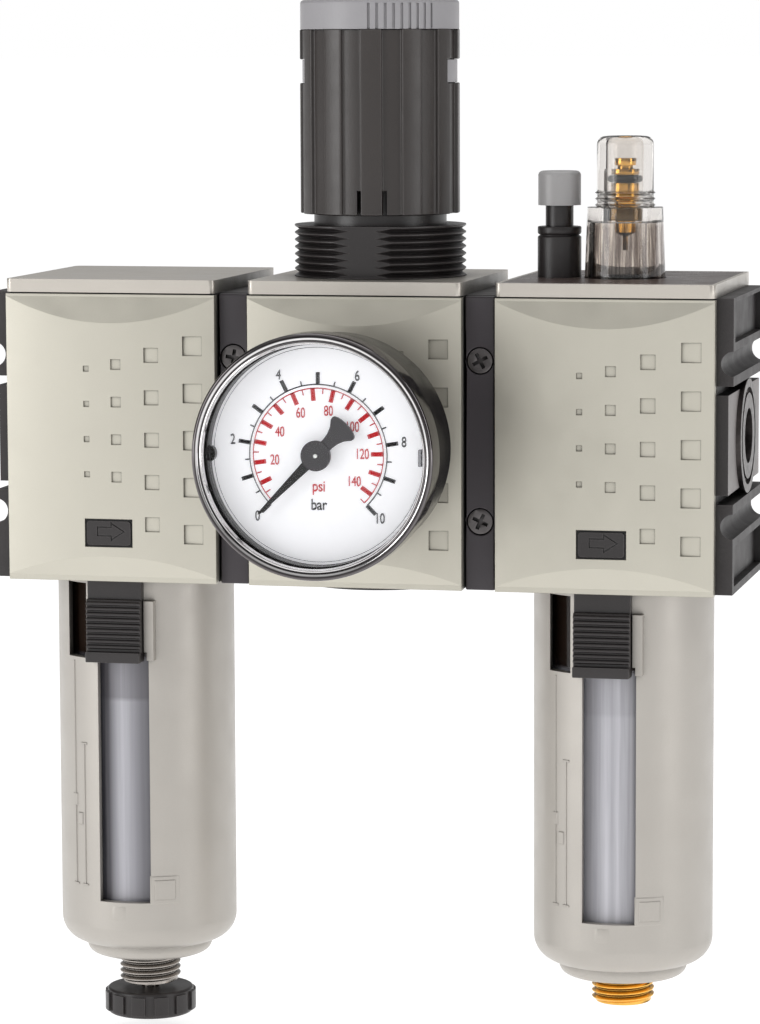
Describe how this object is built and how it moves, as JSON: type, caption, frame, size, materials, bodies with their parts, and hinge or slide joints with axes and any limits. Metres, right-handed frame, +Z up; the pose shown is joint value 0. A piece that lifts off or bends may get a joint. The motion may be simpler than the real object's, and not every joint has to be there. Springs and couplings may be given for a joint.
{
  "type": "filter regulator lubricator",
  "caption": "Modular compressed-air service unit: bayonet-bowl filter, pressure regulator with gauge and pull-to-unlock knob, and oil-mist lubricator with sight dome.",
  "frame": {"origin": "centre of the inlet port's outer face", "axes": "+X along the air flow from inlet to outlet, -Y towards the gauge and the viewer, +Z up"},
  "size_m": [0.156, 0.0876, 0.2178],
  "materials": {
    "champagne": "satin metallic paint",
    "dark_casting": "matt dark grey powder coat",
    "guard_paint": "satin paint",
    "clear_bowl": "clear",
    "clear_dome": "clear",
    "gauge_glass": "clear",
    "black_plastic": "fine textured",
    "grey_plastic": "satin",
    "light_grey_plastic": "satin",
    "inlay_film": "satin",
    "rubber": "matt",
    "brass": "machined",
    "nickel": "turned, nickel plated",
    "steel": "plain",
    "chrome": "polished",
    "black_steel": "gloss black",
    "dial_white": "printed",
    "filter_medium": "porous",
    "green_medium": "porous",
    "white_plastic": "satin"
  },
  "bodies": {
    "unit": {"filter_body": "dark_casting", "filter_front_cover": "champagne", "filter_top_plate": "champagne", "filter_element": "filter_medium", "filter_swirl_vane": "black_plastic", "filter_baffle": "black_plastic", "regulator_body": "dark_casting", "regulator_front_cover": "champagne", "regulator_top_plate": "champagne", "regulator_bonnet": "black_plastic", "main_spring": "steel", "diaphragm": "rubber", "valve_spring": "steel", "bottom_plug": "black_plastic", "gauge_case": "black_steel", "gauge_bezel": "chrome", "gauge_lens": "gauge_glass", "gauge_dial": "dial_white", "gauge_stem": "brass", "gauge_tube": "brass", "lubricator_body": "dark_casting", "lubricator_front_cover": "champagne", "lubricator_top_plate": "champagne", "lubricator_top_inlay": "inlay_film", "sight_dome": "clear_dome", "dome_seal": "rubber", "drip_tube": "brass", "fill_button_base": "black_plastic", "fill_button_spring": "steel", "siphon_tube": "white_plastic", "siphon_filter": "green_medium", "rear_covers": "champagne", "flow_arrows": "black_plastic", "bowl_seals": "rubber", "port_inserts": "nickel", "module_seals": "rubber", "coupling_front_strips": "dark_casting", "coupling_rear_strips": "dark_casting", "coupling_screws": "black_steel"},
    "adjuster": {"adjusting_screw": "steel"},
    "knob": {"regulator_knob": "black_plastic", "knob_cap": "grey_plastic"},
    "spring_nut": {"spring_nut": "brass"},
    "valve": {"diaphragm_disc": "steel", "valve_stem": "brass"},
    "pointer": {"gauge_pointer": "black_steel"},
    "filter_bowl_unit": {"filter_bowl_guard": "guard_paint", "filter_bowl": "clear_bowl", "drain_nipple": "nickel"},
    "filter_lock": {"filter_lock_slide": "black_plastic"},
    "drain_valve": {"drain_stem": "nickel"},
    "drain_knob": {"drain_knob": "black_plastic"},
    "lubricator_bowl_unit": {"lubricator_bowl_guard": "guard_paint", "lubricator_bowl": "clear_bowl", "fill_fitting": "brass"},
    "lubricator_lock": {"lubricator_lock_slide": "black_plastic"},
    "fill_button": {"fill_button_stem": "black_plastic", "fill_button_cap": "light_grey_plastic"},
    "metering_lift": {"metering_seal": "rubber"},
    "metering_screw": {"metering_screw": "brass"}
  },
  "joints": [
    {"name": "adjust_turn", "type": "hinge", "parent": "unit", "child": "adjuster", "pos_m": [0.078, 0, 0.079], "axis": [0, 0, 1], "range_deg": [-2160, 0]},
    {"name": "nut_travel", "type": "slide", "parent": "unit", "child": "spring_nut", "axis": [0, 0, -1], "range_m": [0, 0.00751], "deforming": ["main_spring"]},
    {"name": "knob_pull", "type": "slide", "parent": "adjuster", "child": "knob", "axis": [0, 0, 1], "range_m": [0, 0.0035]},
    {"name": "valve_open", "type": "slide", "parent": "unit", "child": "valve", "axis": [0, 0, -1], "range_m": [0, 0.0015], "stiffness_N_per_m": 1500, "springref_m": -0.004, "deforming": ["valve_spring", "diaphragm"]},
    {"name": "pointer_sweep", "type": "hinge", "parent": "unit", "child": "pointer", "pos_m": [0.078, -0.055, 0], "axis": [0, 1, 0], "range_deg": [0, 270], "stiffness_Nm_per_rad": 0.0002, "springref_deg": -22.92},
    {"name": "filter_bowl_turn", "type": "hinge", "parent": "unit", "child": "filter_bowl_unit", "pos_m": [0.026, 0, -0.03], "axis": [0, 0, 1], "range_deg": [0, 30]},
    {"name": "filter_lock_pull", "type": "slide", "parent": "filter_bowl_unit", "child": "filter_lock", "axis": [0, 0, -1], "range_m": [0, 0.0045], "stiffness_N_per_m": 250, "springref_m": -0.003},
    {"name": "drain_travel", "type": "slide", "parent": "filter_bowl_unit", "child": "drain_valve", "axis": [0, 0, -1], "range_m": [0, 0.00101]},
    {"name": "drain_turn", "type": "hinge", "parent": "drain_valve", "child": "drain_knob", "pos_m": [0.026, 0, -0.125], "axis": [0, 0, 1], "range_deg": [-360, 0]},
    {"name": "lubricator_bowl_turn", "type": "hinge", "parent": "unit", "child": "lubricator_bowl_unit", "pos_m": [0.13, 0, -0.03], "axis": [0, 0, 1], "range_deg": [0, 30]},
    {"name": "lubricator_lock_pull", "type": "slide", "parent": "lubricator_bowl_unit", "child": "lubricator_lock", "axis": [0, 0, -1], "range_m": [0, 0.0045], "stiffness_N_per_m": 250, "springref_m": -0.003},
    {"name": "fill_press", "type": "slide", "parent": "unit", "child": "fill_button", "axis": [0, 0, -1], "range_m": [0, 0.004], "stiffness_N_per_m": 600, "springref_m": -0.003, "deforming": ["fill_button_spring"]},
    {"name": "metering_travel", "type": "slide", "parent": "unit", "child": "metering_lift", "axis": [0, 0, 1], "range_m": [0, 0.0015]},
    {"name": "metering_turn", "type": "hinge", "parent": "metering_lift", "child": "metering_screw", "pos_m": [0.13, 0, 0.055], "axis": [0, 0, 1], "range_deg": [0, 1081]}
  ],
  "couplings": [
    {"joint": "nut_travel", "follows": "adjust_turn", "m_per_rad": -0.00019894},
    {"joint": "drain_travel", "follows": "drain_turn", "m_per_rad": -0.00015915},
    {"joint": "metering_turn", "follows": "metering_travel", "rad_per_m": 12566}
  ]
}
